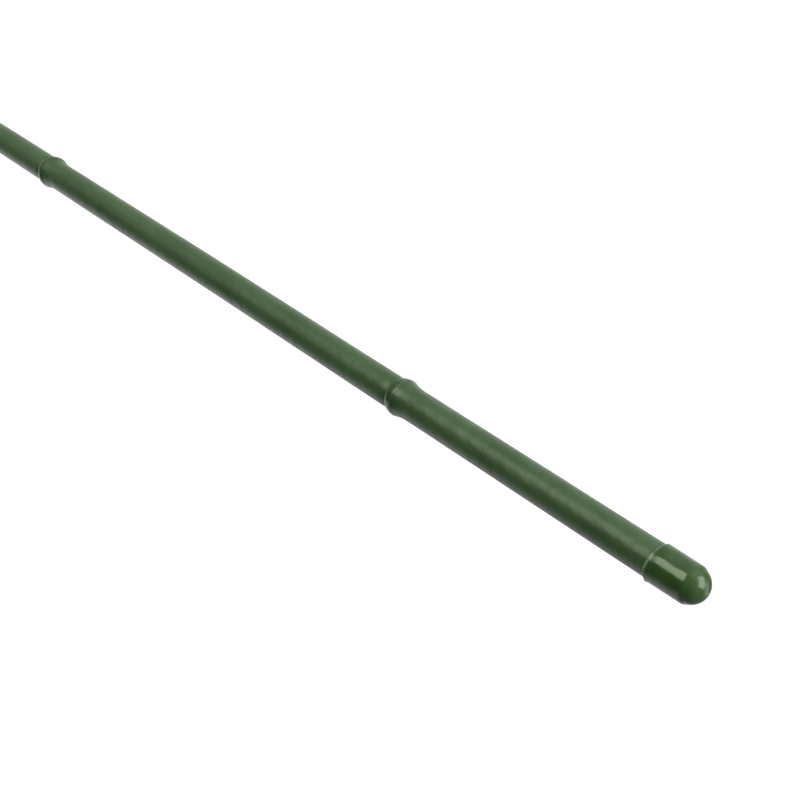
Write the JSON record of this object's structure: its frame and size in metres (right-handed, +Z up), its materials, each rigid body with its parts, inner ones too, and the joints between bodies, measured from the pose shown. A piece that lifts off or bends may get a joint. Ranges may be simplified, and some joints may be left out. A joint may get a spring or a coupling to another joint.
{
  "type": "plant stake",
  "caption": "Straight plastic-coated steel plant stake with bamboo-like nodes, a domed push-on cap and a push-on ground point, pushed into soil to hold up stems.",
  "frame": {"origin": "centre of the ground point's small flat nose", "axes": "+Z up the stake's axis from the point to the cap; +X through the tube's weld bead"},
  "size_m": [0.0128, 0.0128, 0.9],
  "materials": {
    "tube_steel": "mill finish, thin welded tube",
    "coat_plastic": "satin extruded polyethylene",
    "cap_plastic": "semi-gloss moulded polyethylene",
    "point_plastic": "semi-gloss moulded polyethylene"
  },
  "bodies": {
    "shaft": {"steel_tube": "tube_steel", "plastic_sleeve": "coat_plastic"},
    "cap": {"top_cap": "cap_plastic"},
    "point": {"ground_point": "point_plastic"}
  },
  "joints": [
    {"name": "cap_pull", "type": "slide", "parent": "shaft", "child": "cap", "axis": [0, 0, 1], "range_m": [0, 0.03]},
    {"name": "point_pull", "type": "slide", "parent": "shaft", "child": "point", "axis": [0, 0, -1], "range_m": [0, 0.03]}
  ]
}
